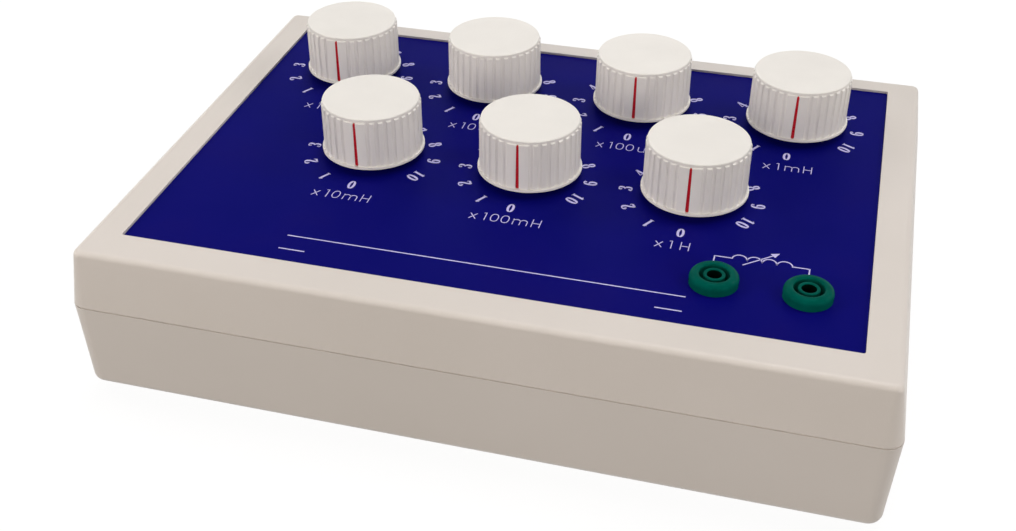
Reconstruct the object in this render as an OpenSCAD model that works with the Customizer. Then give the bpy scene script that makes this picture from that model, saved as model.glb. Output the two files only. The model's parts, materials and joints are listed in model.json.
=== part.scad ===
// Inductance decade box: a moulded two-part case with a recessed front panel,
// seven fluted knobs on eleven-position rotary switches, and two 4 mm safety sockets.
// +Z is up. The origin is on the table under the middle of the case, at the feet.

/* [Case] */
// Width of the case at the parting line
case_w = 253.8; // [236:0.2:280]
// Depth of the case at the parting line
case_d = 185.2; // [176:0.2:210]
// Height of the upper shell, from the parting line to the rim
upper_h = 19.3; // [18:0.1:24]
// Height of the lower shell, from its base to the parting line
lower_h = 31.2; // [30:0.1:45]
// How far each upper wall leans in from the parting line to the rim
upper_lean = 3.4; // [1:0.1:3.6]
// How far each lower wall leans in from the parting line to the base
lower_lean = 1.0; // [0.5:0.1:3]
// Radius of the vertical corners at the parting line
corner_r = 5.6; // [5.4:0.1:10]
// Radius of the inside corners under the deck
inner_corner_r = 1; // [0.5:0.1:3]
// Radius of the rounded edge round the rim
rim_r = 2; // [1:0.1:2.5]
// Radius of the rounded edge round the base
base_r = 3; // [1:0.1:4]
// Wall thickness of both shells
wall = 3; // [2.8:0.1:3.5]
// Height of the dark groove at the parting line
groove_h = 0.4; // [0.3:0.1:1.2]
// Depth of the dark groove at the parting line
groove_d = 0.5; // [0.3:0.1:1]
// Height of the tongue that stands up inside the upper shell
tongue_h = 2.4; // [1.5:0.1:3]
// Thickness of the tongue
tongue_t = 1.1; // [0.8:0.1:1.2]

/* [Front panel] */
// Distance from the side of the case in to the panel
side_margin = 14.1; // [13:0.1:16]
// Distance from the front of the case back to the panel
front_margin = 16.0; // [15:0.1:20]
// Distance from the back of the case forward to the panel
back_margin = 11.6; // [11.5:0.1:15]
// Thickness of the front panel
panel_t = 1.0; // [0.5:0.1:1.5]
// How far the face of the panel lies below the rim
panel_drop = 0.8; // [0.5:0.1:2]
// Thickness of the deck under the panel
deck_t = 2.5; // [2:0.1:3]
// Corner radius of the panel
panel_corner_r = 0.8; // [0.5:0.1:3]

/* [Knobs] */
// Distance between knobs in a row
knob_pitch = 55; // [50:0.5:56]
// Distance between the two rows
row_pitch = 55.5; // [50:0.1:57]
// Distance from the middle of the panel forward to the front row
front_row = 7.8; // [5:0.1:12]
// Radius over the ribs at the top of a knob
knob_r = 16.7; // [16.3:0.05:17.2]
// Radius over the ribs at the bottom of a knob
knob_foot_r = 16.8; // [16.3:0.05:17.2]
// Radius of the skirt round the bottom of a knob
skirt_r = 17.4; // [17:0.05:18.5]
// Height of a knob above the panel
knob_top = 20.3; // [18.5:0.1:24]
// Gap between the panel and the skirt
knob_gap = 2.2; // [1:0.1:4]
// Height of the skirt
skirt_h = 0.7; // [0.5:0.1:2]
// Number of places for a rib round a knob
rib_places = 36; // [24:1:40]
// Radius of the tool that cuts the valleys between ribs
valley_r = 0.85; // [0.6:0.05:1]
// Depth of a valley
valley_depth = 0.6; // [0.2:0.05:0.7]
// Radius of the cap that closes the top of a knob
cap_r = 16.3; // [14.5:0.05:16.65]
// Height of the side of the cap
cap_h = 1.0; // [0.8:0.1:2]
// Radius of the rounded edge of the cap
cap_edge_r = 0.4; // [0.2:0.1:0.8]
// Width of the pointer groove at its top
pointer_top_w = 0.8; // [0.4:0.05:1]
// Width of the pointer groove at its bottom
pointer_foot_w = 1.15; // [0.6:0.05:1.5]
// Depth of the pointer groove
pointer_depth = 0.45; // [0.2:0.05:0.6]

/* [Rotary switches] */
// Angle from one position to the next
step_angle = 30; // [30:1:30]
// Number of positions above zero
last_position = 10; // [5:1:10]
// Radius of the spindle
spindle_r = 3.0; // [2.5:0.1:3.2]
// Height of the flat on the spindle above its axis
flat_height = 2.5; // [2.2:0.1:2.8]
// Radius of the threaded bush
bush_r = 4.75; // [4.5:0.05:5]
// Height of the bush above the deck's underside
bush_h = 8.2; // [7.8:0.1:9]
// Radius of the switch body
switch_r = 14; // [13.5:0.1:15]
// Height of the switch body, without its base
switch_h = 13.5; // [13.5:0.1:16]
// Thickness of the switch base
base_t = 2; // [1.5:0.1:2.5]
// Width of the panel nut across its flats
nut_flats = 14; // [13:0.1:16]
// Height of the panel nut
nut_h = 2.5; // [2:0.1:3]
// Thickness of the washer under the panel nut
washer_t = 0.6; // [0.4:0.1:1]
// Radius of a detent ball
ball_r = 1.5; // [1.2:0.1:1.6]

/* [Sockets] */
// Distance between the two sockets
socket_pitch = 27.4; // [19:0.1:28]
// Distance from the side of the panel in to the right socket
socket_side = 17.4; // [15:0.1:22]
// Distance from the front row of knobs forward to the sockets
socket_row = 47.6; // [44:0.1:52]
// Radius of a socket's head
socket_head_r = 7.4; // [6.5:0.05:8]
// Height of a socket's head above the panel
socket_head_h = 3.6; // [2.4:0.1:5]
// Radius of the bore that takes a 4 mm plug
plug_r = 2.0; // [2:0.01:2.05]
// Inner radius of the shroud groove's outer wall
shroud_r = 4.5; // [4.2:0.05:4.7]
// Radius of the sleeve round the bore
sleeve_r = 3.3; // [3.1:0.05:3.5]
// Radius of the socket's threaded barrel
barrel_r = 5.95; // [5.5:0.05:6.2]

/* [Fasteners and feet] */
// Distance from the side of the case in to the case screws
screw_side = 14.2; // [13:0.1:19]
// Distance from the front and back of the case in to the case screws
screw_end = 13.6; // [12.5:0.1:16.5]
// Radius of the screw bosses
boss_r = 4.5; // [4:0.1:5]
// Radius of the case screw's thread
screw_r = 1.5; // [1.2:0.1:1.7]
// Radius of the case screw's head
screw_head_r = 2.8; // [2.4:0.1:3]
// Height of the case screw's head
screw_head_h = 2.2; // [1.6:0.1:2.4]
// Distance from the side of the case in to the feet
foot_side = 28.9; // [25:0.1:36]
// Distance from the front and back of the case in to the feet
foot_end = 26.6; // [24:0.1:32]
// Radius of a rubber foot
foot_r = 7; // [5:0.5:9]
// Height of a rubber foot below the case
foot_h = 3; // [2:0.1:5]

/* [Circuit board and coils] */
// How far the circuit board reaches past the outer knobs
board_past_knob = 16; // [14.5:0.1:20]
// How far the circuit board reaches past the right socket
board_past_socket = 6.6; // [4:0.1:10]
// Thickness of the circuit board
board_t = 1.6; // [1:0.1:2]
// Gap between the switch bases and the circuit board
board_gap = 1.0; // [0.5:0.1:2]
// Radius of a switch pin
pin_r = 0.5; // [0.4:0.05:0.6]
// Height of the coils for the smallest decade
coil_h = 6; // [4:0.5:8]
// How much taller the coils get from one decade to the next
coil_h_step = 0.8; // [0:0.1:1]
// Radius of the coils for the smallest decade
coil_r = 2.6; // [2:0.1:3]
// How much wider the coils get from one decade to the next
coil_r_step = 0.3; // [0:0.05:0.3]

/* [Hidden] */
$fn = 96;
DECADES = ["x1uh", "x10uh", "x100uh", "x1mh", "x10mh", "x100mh", "x1h"];

// Colours
cream = [0.86, 0.83, 0.80];
blue = [0.09, 0.08, 0.42];
knob_white = [0.90, 0.89, 0.87];
green = [0.0, 0.45, 0.36];
black = [0.08, 0.08, 0.08];
steel = [0.72, 0.72, 0.74];
brass = [0.80, 0.66, 0.32];
phenolic = [0.30, 0.20, 0.12];
board_green = [0.10, 0.36, 0.18];
copper = [0.72, 0.42, 0.22];

// Heights
base_z = foot_h;
split_z = base_z + lower_h;
rim_z = split_z + upper_h;
face_z = rim_z - panel_drop;
deck_z = face_z - panel_t;
under_z = deck_z - deck_t;
floor_z = base_z + wall;
knob_z = face_z + knob_gap;
top_z = face_z + knob_top;
cap_z = top_z - cap_h;
bush_z = under_z + bush_h;
well_z = under_z - switch_h;
seat_z = well_z - base_t;
board_z = seat_z - board_gap - board_t;

// Outer walls are swept round a rectangle that is set in from the parting line by the corner radius
upper_rim_off = corner_r - upper_lean;
lower_base_off = corner_r - lower_lean;

// The cavity is swept round a smaller rectangle, set in by this much, which keeps its corners round
cavity_in = wall + upper_lean + inner_corner_r;

// Front panel, case screws and feet
panel_w = case_w - 2 * side_margin;
panel_d = case_d - front_margin - back_margin;
panel_y = (front_margin - back_margin) / 2;
screw_x = case_w / 2 - screw_side;
screw_y = case_d / 2 - screw_end;
foot_x = case_w / 2 - foot_side;
foot_y = case_d / 2 - foot_end;

// Clearances, and how far a cut runs past the face that it opens
snug = 0.05;
slide = 0.05;
tight = 0.2;
loose = 0.3;
over = 1;

// Knob places, back row first
back_y = panel_y - front_row + row_pitch;
front_y = panel_y - front_row;
back_count = 4;
function knob_x(i) =
  i < back_count ? (i - (back_count - 1) / 2) * knob_pitch : (i - back_count - 1) * knob_pitch;
function knob_y(i) = i < back_count ? back_y : front_y;
COUNT = len(DECADES);

// The position that each knob rests at: the second one is turned to the far side
turned_knob = 1;
turned_to = 5;
function rest_angle(i) = i == turned_knob ? -turned_to * step_angle : 0;
zero_angle = -90;

// Switch insides
body_wall = 2.5;
cavity_r = switch_r - body_wall;
roof_t = 2;
star_r = 6.5;
star_h = 3;
star_notch_r = 1.8;
star_notch_depth = 0.35;
star_gap = 0.4;
star_z = under_z - roof_t - star_gap - star_h;
guide_drop = 0.6;
guide_lip = 0.4;
ball_clear = 0.08;
guide_in_r = star_r + loose;
guide_out_r = star_r + 2 * ball_r - guide_lip;
ball_at = star_r + ball_r + ball_clear;
ring_in_r = ball_at + ball_r + snug;
ring_t = 0.5;
ring_h = 2.6;
guide_z = star_z - guide_drop;
carrier_gap = 1.5;
carrier_rise = 1.6;
carrier_r = cavity_r - carrier_gap;
carrier_h = 3;
carrier_z = well_z + carrier_rise;
stop_half_angle = 24;
lug_half_angle = 5;
stop_in_r = carrier_r + loose;
contact_at = 8.4;
contact_r = 1.2;
contact_h = 0.8;
common_at = 4.2;
pivot_r = 1.5;
pivot_floor = 0.4;
pivot_h = base_t - pivot_floor;

// Sockets
socket_mid_x = panel_w / 2 - socket_side - socket_pitch / 2;
socket_y = front_y - socket_row;
function socket_x(s) = socket_mid_x + s * socket_pitch / 2;
socket_top_z = face_z + socket_head_h;
socket_depth = 13;
shroud_floor = 3;
contact_drop = 6;
socket_foot_z = under_z - socket_depth;
shroud_z = socket_foot_z + shroud_floor;
contact_top_z = socket_top_z - contact_drop;
contact_wall = 0.7;
contact_tail_r = 1.5;
contact_tail_h = 5;
lug_t = 0.6;
lug_w = 3.4;
socket_nut_flats = 14;
socket_nut_h = 3;
head_edge_r = 1.8;
groove_edge_r = 0.7;
sleeve_edge_r = 0.4;
sleeve_drop = 0.4;
contact_out_r = plug_r + contact_wall;
contact_flange_t = 0.8;
lug_z = socket_foot_z - contact_flange_t - lug_t;
wire_r = 0.6;
wire_lap = 2.5;

// Screws, feet and pegs
screw_reach = 8;
screw_seat_z = split_z - screw_reach;
screw_slot_len = 3.4;
screw_slot_w = 0.7;
screw_slot_h = 1.1;
screw_grip = 9;
foot_stem_r = 2;
foot_edge = 0.8;
boss_rib_t = 1.6;
boss_rib_h = 12;
peg_at = 10.5;
peg_r = 1.2;
peg_h = 1.8;

// Knob insides
knob_inner_r = 13.6;
flare_r = skirt_r - knob_foot_r;
skirt_z = knob_z + skirt_h;
flare_z = skirt_z + flare_r;
rib_bevel = 0.4;
web_t = 2;
web_drop = 5;
web_z = cap_z - web_drop;
hub_r = 5.4;
hub_gap = 0.6;
hub_z = bush_z + hub_gap;
spigot_h = 2.4;
spigot_t = 1.0;
hub_drop = 1.4;
hub_top_z = cap_z - hub_drop;
spindle_drop = 0.4;
spindle_top_z = hub_top_z - spindle_drop;

// Board, with the socket wires in front of the widest coils and its front edge in front of them
coil_y = -knob_pitch / 2;
coil_gap = 0.8;
widest_coil_r = coil_r + coil_r_step * (COUNT - 1);
coil_front_y = front_y + coil_y - coil_gap / 2 - 2 * widest_coil_r;
wire_clear = 1;
wire_inset = 2.5;
wire_y = coil_front_y - wire_clear - wire_r;
wire_run = wire_y - socket_y;
wire_past_lug = 0.3;
lug_len = wire_run - wire_past_lug;
board_front_y = wire_y - wire_inset;
board_back_y = back_y + board_past_knob;
board_half_w = max(knob_x(back_count - 1) + board_past_knob, socket_x(1) + board_past_socket);
flange_t = 1.2;
winding_share = 0.8;
pin_end = 1.5;
wiper_w = 2;
wiper_t = 0.7;
ring_slit = 2;

// Wall sections, in the plane of radius and height

// A section whose wall leans in from off_low to off_high, with a quarter-round at its high corner
module rounded_section(off_low, z_low, off_high, z_high, r) {
  lean_angle = atan((off_low - off_high) / (z_high - z_low));
  reach = r * tan((90 - lean_angle) / 2);
  centre = [off_high - reach, z_high - r];
  wall_end = [off_high + reach * sin(lean_angle), z_high - reach * cos(lean_angle)];
  union() {
    polygon([[0, z_low], [off_low, z_low], wall_end, centre, [centre[0], z_high], [0, z_high]]);
    translate(centre)
      quarter_disc(r);
  }
}

module quarter_disc(r) {
  intersection() {
    circle(r);
    square(r);
  }
}

module upper_outside() {
  rounded_section(corner_r, split_z, upper_rim_off, rim_z, rim_r);
}

module upper_inside() {
  wall_off = cavity_in - wall;
  rebate_off = wall_off + tongue_t + tight;
  rebate_z = split_z + tongue_h + loose;
  lean_per_mm = upper_lean / upper_h;
  polygon([
    [0, split_z - over], [rebate_off, split_z - over], [rebate_off, rebate_z],
    [wall_off - lean_per_mm * (rebate_z - split_z), rebate_z],
    [wall_off - lean_per_mm * (under_z - split_z), under_z], [0, under_z]
  ]);
}

module groove_section() {
  translate([corner_r - groove_d, split_z - over])
    square([groove_d + over, groove_h + over]);
}

module lower_outside() {
  translate([0, base_z + split_z])
    mirror([0, 1])
      rounded_section(corner_r, base_z, lower_base_off, split_z, base_r);
}

module lower_inside() {
  wall_off = cavity_in - wall;
  polygon([
    [0, floor_z], [wall_off - lower_lean, floor_z],
    [wall_off, split_z], [wall_off, split_z + over], [0, split_z + over]
  ]);
}

module tongue_section() {
  translate([cavity_in - wall, split_z - over])
    square([tongue_t, tongue_h + over]);
}

// Sweeps the section given as a child round a rectangle that is set in from the parting line
module swept_ring(set_in) {
  core_x = case_w / 2 - set_in;
  core_y = case_d / 2 - set_in;
  for (side = [0, 1])
    mirror([side, 0, 0])
      translate([core_x, core_y, 0])
        rotate([90, 0, 0])
          linear_extrude(2 * core_y)
            children();
  for (side = [0, 1])
    mirror([0, side, 0])
      translate([-core_x, core_y, 0])
        rotate([90, 0, 90])
          linear_extrude(2 * core_x)
            children();
  for (side = [0, 1], end = [0, 1])
    mirror([side, 0, 0])
      mirror([0, end, 0])
        translate([core_x, core_y, 0])
          rotate_extrude(angle = 90)
            children();
}

// The same, with the rectangle filled from z_low to z_high
module swept_solid(set_in, z_low, z_high) {
  translate([set_in - case_w / 2, set_in - case_d / 2, z_low])
    cube([case_w - 2 * set_in, case_d - 2 * set_in, z_high - z_low]);
  swept_ring(set_in)
    children();
}

// Small shared shapes

module rounded_plate(w, d, t, r) {
  translate([-w / 2 + r, -d / 2, 0])
    cube([w - 2 * r, d, t]);
  translate([-w / 2, -d / 2 + r, 0])
    cube([w, d - 2 * r, t]);
  for (sx = [-1, 1], sy = [-1, 1])
    translate([sx * (w / 2 - r), sy * (d / 2 - r), 0])
      cylinder(h = t, r = r);
}

module tube(r_out, r_in, h) {
  difference() {
    cylinder(h = h, r = r_out);
    translate([0, 0, -over])
      cylinder(h = h + 2 * over, r = r_in);
  }
}

module hex_nut(flats, h, r) {
  difference() {
    cylinder(h = h, r = flats / 2 / cos(30), $fn = 6);
    translate([0, 0, -over])
      cylinder(h = h + 2 * over, r = r);
  }
}

// Places its children on the axis of knob i, or of every knob
module at_knob(i) {
  translate([knob_x(i), knob_y(i), 0])
    children();
}

module at_knobs() {
  for (i = [0:COUNT - 1])
    at_knob(i)
      children();
}

module at_sockets() {
  for (s = [-1, 1])
    translate([socket_x(s), socket_y, 0])
      children();
}

module at_screws() {
  for (sx = [-1, 1], sy = [-1, 1])
    translate([sx * screw_x, sy * screw_y, 0])
      children();
}

module at_feet() {
  for (sx = [-1, 1], sy = [-1, 1])
    translate([sx * foot_x, sy * foot_y, 0])
      children();
}

// Case

module deck_holes(z, t) {
  at_knobs()
    translate([0, 0, z - over])
      cylinder(h = t + 2 * over, r = bush_r + tight);
  at_sockets()
    translate([0, 0, z - over])
      cylinder(h = t + 2 * over, r = barrel_r + snug);
}

module upper_shell() {
  color(cream)
    difference() {
      union() {
        difference() {
          swept_solid(corner_r, split_z, rim_z)
            upper_outside();
          swept_solid(cavity_in, split_z - over, under_z)
            upper_inside();
        }
        at_screws()
          translate([0, 0, split_z])
            cylinder(h = under_z - split_z + snug, r = boss_r);
      }
      swept_ring(corner_r)
        groove_section();
      translate([0, panel_y, deck_z])
        rounded_plate(panel_w + tight, panel_d + tight, rim_z - deck_z + over, panel_corner_r);
      deck_holes(under_z, deck_t);
      at_knobs()
        translate([-peg_at, 0, under_z - over])
          cylinder(h = peg_h + tight + over, r = peg_r + tight);
      at_screws()
        translate([0, 0, split_z - over])
          cylinder(h = screw_grip + loose + over, r = screw_r + snug);
    }
}

module lower_shell() {
  color(cream)
    difference() {
      union() {
        difference() {
          swept_solid(corner_r, base_z, split_z)
            lower_outside();
          swept_solid(cavity_in, floor_z, split_z + over)
            lower_inside();
        }
        swept_ring(cavity_in)
          tongue_section();
        at_screws()
          translate([0, 0, floor_z - snug])
            cylinder(h = split_z - floor_z + snug, r = boss_r);
        boss_ribs();
      }
      at_screws() {
        translate([0, 0, base_z - over])
          cylinder(h = screw_seat_z - base_z + over, r = screw_head_r + loose);
        translate([0, 0, base_z - over])
          cylinder(h = lower_h + 2 * over, r = screw_r + tight);
      }
      at_feet()
        translate([0, 0, base_z - over])
          cylinder(h = wall + 2 * over, r = foot_stem_r + snug);
    }
}

// Ribs that tie each boss to the side wall
module boss_ribs() {
  rib_len = case_w / 2 - lower_lean - wall - screw_x;
  for (sx = [0, 1], sy = [-1, 1])
    mirror([sx, 0, 0])
      translate([screw_x, sy * screw_y - boss_rib_t / 2, floor_z - snug])
        cube([rib_len + snug, boss_rib_t, boss_rib_h]);
}

module front_panel() {
  color(blue)
    difference() {
      translate([0, panel_y, deck_z])
        rounded_plate(panel_w, panel_d, panel_t, panel_corner_r);
      deck_holes(deck_z, panel_t);
    }
}

module case_screws() {
  color(steel)
    at_screws()
      difference() {
        union() {
          translate([0, 0, screw_seat_z - screw_head_h])
            cylinder(h = screw_head_h, r = screw_head_r);
          translate([0, 0, screw_seat_z])
            cylinder(h = split_z + screw_grip - screw_seat_z, r = screw_r);
        }
        for (turn = [0, 90])
          rotate([0, 0, turn])
            translate([-screw_slot_len / 2, -screw_slot_w / 2, screw_seat_z - screw_head_h - over])
              cube([screw_slot_len, screw_slot_w, screw_slot_h + over]);
      }
}

module rubber_feet() {
  color(black)
    at_feet() {
      cylinder(h = foot_edge, r1 = foot_r - foot_edge, r2 = foot_r);
      translate([0, 0, foot_edge])
        cylinder(h = base_z - foot_edge, r = foot_r);
      cylinder(h = base_z + wall - snug, r = foot_stem_r);
    }
}

// Knobs, turned to the position that each one rests at

module at_rest(i) {
  at_knob(i)
    rotate([0, 0, zero_angle + rest_angle(i)])
      children();
}

module knob_profile() {
  difference() {
    polygon([
      [knob_inner_r, knob_z], [skirt_r, knob_z], [skirt_r, flare_z], [knob_foot_r, flare_z],
      [knob_r, cap_z - rib_bevel], [cap_r, cap_z], [knob_inner_r, cap_z]
    ]);
    translate([skirt_r, flare_z])
      circle(flare_r);
  }
}

module knob(i) {
  tilt = atan((knob_foot_r - knob_r) / (cap_z - flare_z));
  color(knob_white)
    at_rest(i)
      difference() {
        union() {
          rotate_extrude()
            knob_profile();
          translate([0, 0, web_z])
            cylinder(h = web_t, r = knob_inner_r + snug);
          translate([0, 0, hub_z])
            cylinder(h = hub_top_z - hub_z, r = hub_r);
        }
        for (k = [2:rib_places - 1])
          rotate([0, 0, (k - 0.5) * 360 / rib_places])
            translate([knob_foot_r + valley_r - valley_depth, 0, skirt_z])
              rotate([0, -tilt, 0])
                cylinder(h = cap_z - skirt_z + over, r = valley_r, $fn = 24);
        spindle_bore();
        pointer_groove();
      }
}

// The bore is D-shaped, to drive the flat of the spindle
module spindle_bore() {
  difference() {
    translate([0, 0, hub_z - over])
      cylinder(h = cap_z - hub_z + over, r = spindle_r + slide);
    translate([-spindle_r - over, flat_height + slide, hub_z - over])
      cube([2 * spindle_r + 2 * over, spindle_r, cap_z - hub_z + 2 * over]);
  }
}

module pointer_groove() {
  low = skirt_z;
  high = cap_z + snug;
  rotate([90, 0, 90])
    translate([0, 0, knob_r - pointer_depth])
      linear_extrude(pointer_depth + over)
        polygon([
          [-pointer_foot_w / 2, low], [pointer_foot_w / 2, low],
          [pointer_top_w / 2, high], [-pointer_top_w / 2, high]
        ]);
}

module cap(i) {
  color(knob_white)
    at_rest(i) {
      rotate_extrude()
        union() {
          polygon([
            [0, cap_z], [cap_r, cap_z], [cap_r, top_z - cap_edge_r],
            [cap_r - cap_edge_r, top_z - cap_edge_r], [cap_r - cap_edge_r, top_z], [0, top_z]
          ]);
          translate([cap_r - cap_edge_r, top_z - cap_edge_r])
            quarter_disc(cap_edge_r);
        }
      translate([0, 0, cap_z - spigot_h])
        tube(knob_inner_r - tight, knob_inner_r - tight - spigot_t, spigot_h + snug);
    }
}

// Rotary switches

// A slice of a ring, centred on the X axis
module ring_slice(r_in, r_out, half_angle, h) {
  rotate([0, 0, -half_angle])
    rotate_extrude(angle = 2 * half_angle)
      translate([r_in, 0])
        square([r_out - r_in, h]);
}

module spindle(i) {
  color(steel)
    at_rest(i)
      difference() {
        union() {
          translate([0, 0, seat_z + base_t - pivot_h])
            cylinder(h = carrier_z + snug - seat_z - base_t + pivot_h, r = pivot_r);
          translate([0, 0, carrier_z])
            cylinder(h = carrier_h, r = carrier_r);
          translate([0, 0, carrier_z + carrier_h / 4])
            ring_slice(carrier_r - over, cavity_r - loose, lug_half_angle, carrier_h / 2);
          translate([common_at - contact_r, -wiper_w / 2, carrier_z - wiper_t])
            cube([contact_at - common_at + 2 * contact_r, wiper_w, wiper_t + snug]);
          translate([0, 0, carrier_z])
            cylinder(h = spindle_top_z - carrier_z, r = spindle_r);
          star_wheel();
        }
        translate([-spindle_r - over, flat_height, hub_z - over])
          cube([2 * spindle_r + 2 * over, spindle_r, spindle_top_z - hub_z + 2 * over]);
      }
}

module star_wheel() {
  difference() {
    translate([0, 0, star_z])
      cylinder(h = star_h, r = star_r);
    for (k = [0:360 / step_angle - 1])
      rotate([0, 0, k * step_angle])
        translate([star_r + star_notch_r - star_notch_depth, 0, star_z - over])
          cylinder(h = star_h + 2 * over, r = star_notch_r);
  }
}

module switch_body(i) {
  color(phenolic)
    at_knob(i) {
      difference() {
        union() {
          translate([0, 0, well_z])
            cylinder(h = switch_h, r = switch_r);
          translate([0, 0, under_z - snug])
            cylinder(h = bush_h + snug, r = bush_r);
          translate([-peg_at, 0, under_z - snug])
            cylinder(h = peg_h + snug, r = peg_r);
        }
        translate([0, 0, well_z - over])
          cylinder(h = bush_z - well_z + 2 * over, r = spindle_r + slide);
        translate([0, 0, well_z - over])
          cylinder(h = guide_z - well_z + over, r = cavity_r);
        translate([0, 0, guide_z - over])
          cylinder(h = under_z - roof_t - guide_z + over, r = guide_in_r);
        translate([0, 0, guide_z - over])
          tube(ring_in_r + ring_t + loose, guide_out_r, under_z - roof_t - guide_z + over);
        for (turn = [0, 180])
          rotate([0, 0, turn])
            translate([0, 0, star_z + star_h / 2])
              rotate([0, 90, 0])
                cylinder(h = ring_in_r, r = ball_r + slide);
      }
      rotate([0, 0, zero_angle + step_angle])
        translate([0, 0, well_z])
          ring_slice(stop_in_r, cavity_r + snug, stop_half_angle, guide_z - well_z + snug);
    }
}

module switch_bases() {
  color(phenolic)
    at_knobs()
      difference() {
        translate([0, 0, seat_z])
          cylinder(h = base_t, r = switch_r);
        translate([0, 0, seat_z + base_t - pivot_h - slide])
          cylinder(h = pivot_h + over, r = pivot_r + slide);
        at_pins()
          translate([0, 0, seat_z - over])
            cylinder(h = base_t + 2 * over, r = pin_r + snug, $fn = 24);
      }
}

// Places of the pins: one a position, and the common one in the gap between last and first
module at_pins() {
  for (k = [0:last_position])
    rotate([0, 0, zero_angle - k * step_angle])
      translate([contact_at, 0, 0])
        children();
  rotate([0, 0, zero_angle + step_angle])
    translate([common_at, 0, 0])
      children();
}

module terminals(i) {
  color(brass)
    at_knob(i) {
      at_pins()
        translate([0, 0, board_z - pin_end])
          cylinder(h = well_z + contact_h / 2 - board_z + pin_end, r = pin_r, $fn = 24);
      for (k = [0:last_position])
        rotate([0, 0, zero_angle - k * step_angle])
          translate([contact_at, 0, well_z])
            cylinder(h = contact_h, r = contact_r);
      translate([0, 0, well_z])
        tube(common_at + contact_r / 2, common_at - contact_r / 2, contact_h);
    }
}

module switch_washers() {
  color(steel)
    at_knobs()
      translate([0, 0, face_z])
        tube(nut_flats / 2 + over, bush_r + tight, washer_t);
}

module switch_nuts() {
  color(brass)
    at_knobs()
      translate([0, 0, face_z + washer_t])
        hex_nut(nut_flats, nut_h, bush_r + snug);
}

module detent_balls() {
  color(steel)
    at_knobs()
      for (side = [-1, 1])
        translate([side * ball_at, 0, star_z + star_h / 2])
          sphere(ball_r);
}

// Open spring rings that press both balls inwards
module detent_rings() {
  color(steel)
    at_knobs()
      translate([0, 0, star_z + star_h / 2 - ring_h / 2])
        difference() {
          tube(ring_in_r + ring_t, ring_in_r, ring_h);
          translate([-ring_slit / 2, 0, -over])
            cube([ring_slit, ring_in_r + ring_t + over, ring_h + 2 * over]);
        }
}

// Circuit board and coils

module circuit_board() {
  color(board_green)
    difference() {
      translate([-board_half_w, board_front_y, board_z])
        cube([2 * board_half_w, board_back_y - board_front_y, board_t]);
      at_knobs()
        at_pins()
          translate([0, 0, board_z - over])
            cylinder(h = board_t + 2 * over, r = pin_r + tight, $fn = 24);
      at_sockets()
        translate([0, wire_run, board_z - over])
          cylinder(h = board_t + 2 * over, r = wire_r + tight, $fn = 24);
    }
}

// Four wound drum cores for one decade
module coils(i) {
  r = coil_r + coil_r_step * i;
  h = coil_h + coil_h_step * i;
  color(copper)
    at_knob(i)
      for (sx = [-1, 1], sy = [-1, 1])
        translate([sx * (r + coil_gap / 2), coil_y + sy * (r + coil_gap / 2), board_z + board_t]) {
          cylinder(h = flange_t, r = r);
          cylinder(h = h, r = r * winding_share);
          translate([0, 0, h - flange_t])
            cylinder(h = flange_t, r = r);
        }
}

// Sockets

// Section of a ring whose two top edges are rounded
module rounded_ring_section(r_in, r_out, z_low, z_high, edge_in, edge_out) {
  translate([r_in, z_low])
    square([edge_in, z_high - edge_in - z_low]);
  translate([r_in + edge_in, z_low])
    square([r_out - edge_out - r_in - edge_in, z_high - z_low]);
  translate([r_out - edge_out, z_low])
    square([edge_out, z_high - edge_out - z_low]);
  translate([r_in + edge_in, z_high - edge_in])
    mirror([1, 0])
      quarter_disc(edge_in);
  translate([r_out - edge_out, z_high - edge_out])
    quarter_disc(edge_out);
}

module socket_section() {
  bore_r = plug_r + tight;
  sleeve_top_z = socket_top_z - sleeve_drop;
  union() {
    rounded_ring_section(shroud_r, socket_head_r, face_z, socket_top_z, groove_edge_r, head_edge_r);
    rounded_ring_section(bore_r, sleeve_r, contact_top_z, sleeve_top_z, sleeve_edge_r, sleeve_edge_r);
    translate([shroud_r, shroud_z])
      square([barrel_r - shroud_r, face_z - shroud_z]);
    translate([contact_out_r + snug, shroud_z])
      square([sleeve_r - contact_out_r - snug, contact_top_z - shroud_z]);
    translate([contact_out_r + snug, socket_foot_z])
      square([barrel_r - contact_out_r - snug, shroud_z - socket_foot_z]);
  }
}

module sockets() {
  color(green)
    at_sockets()
      rotate_extrude()
        socket_section();
}

module socket_contacts() {
  color(brass)
    at_sockets()
      difference() {
        union() {
          translate([0, 0, socket_foot_z - contact_flange_t])
            cylinder(h = contact_flange_t, r = barrel_r - over);
          translate([0, 0, socket_foot_z - snug])
            cylinder(h = contact_top_z - socket_foot_z + snug, r = contact_out_r);
          translate([0, 0, socket_foot_z - contact_flange_t - contact_tail_h])
            cylinder(h = contact_tail_h + snug, r = contact_tail_r);
        }
        translate([0, 0, socket_foot_z + over])
          cylinder(h = contact_top_z - socket_foot_z, r = plug_r);
      }
}

module socket_nuts() {
  color(steel)
    at_sockets()
      translate([0, 0, under_z - socket_nut_h])
        hex_nut(socket_nut_flats, socket_nut_h, barrel_r + snug);
}

module solder_lugs() {
  color(brass)
    at_sockets()
      translate([0, 0, lug_z])
        difference() {
          union() {
            cylinder(h = lug_t, r = lug_w);
            translate([-lug_w / 2, 0, 0])
              cube([lug_w, lug_len, lug_t]);
          }
          translate([0, 0, -over])
            cylinder(h = lug_t + 2 * over, r = contact_tail_r + snug);
        }
}

// Bare wires from the solder lugs down through the board
module socket_wires() {
  wire_z = lug_z - wire_r;
  color(copper)
    at_sockets() {
      translate([0, lug_len - wire_lap, wire_z])
        rotate([-90, 0, 0])
          cylinder(h = wire_run - lug_len + wire_lap, r = wire_r);
      translate([0, wire_run, wire_z])
        sphere(wire_r);
      translate([0, wire_run, board_z - over])
        cylinder(h = wire_z - board_z + over, r = wire_r);
    }
}

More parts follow.
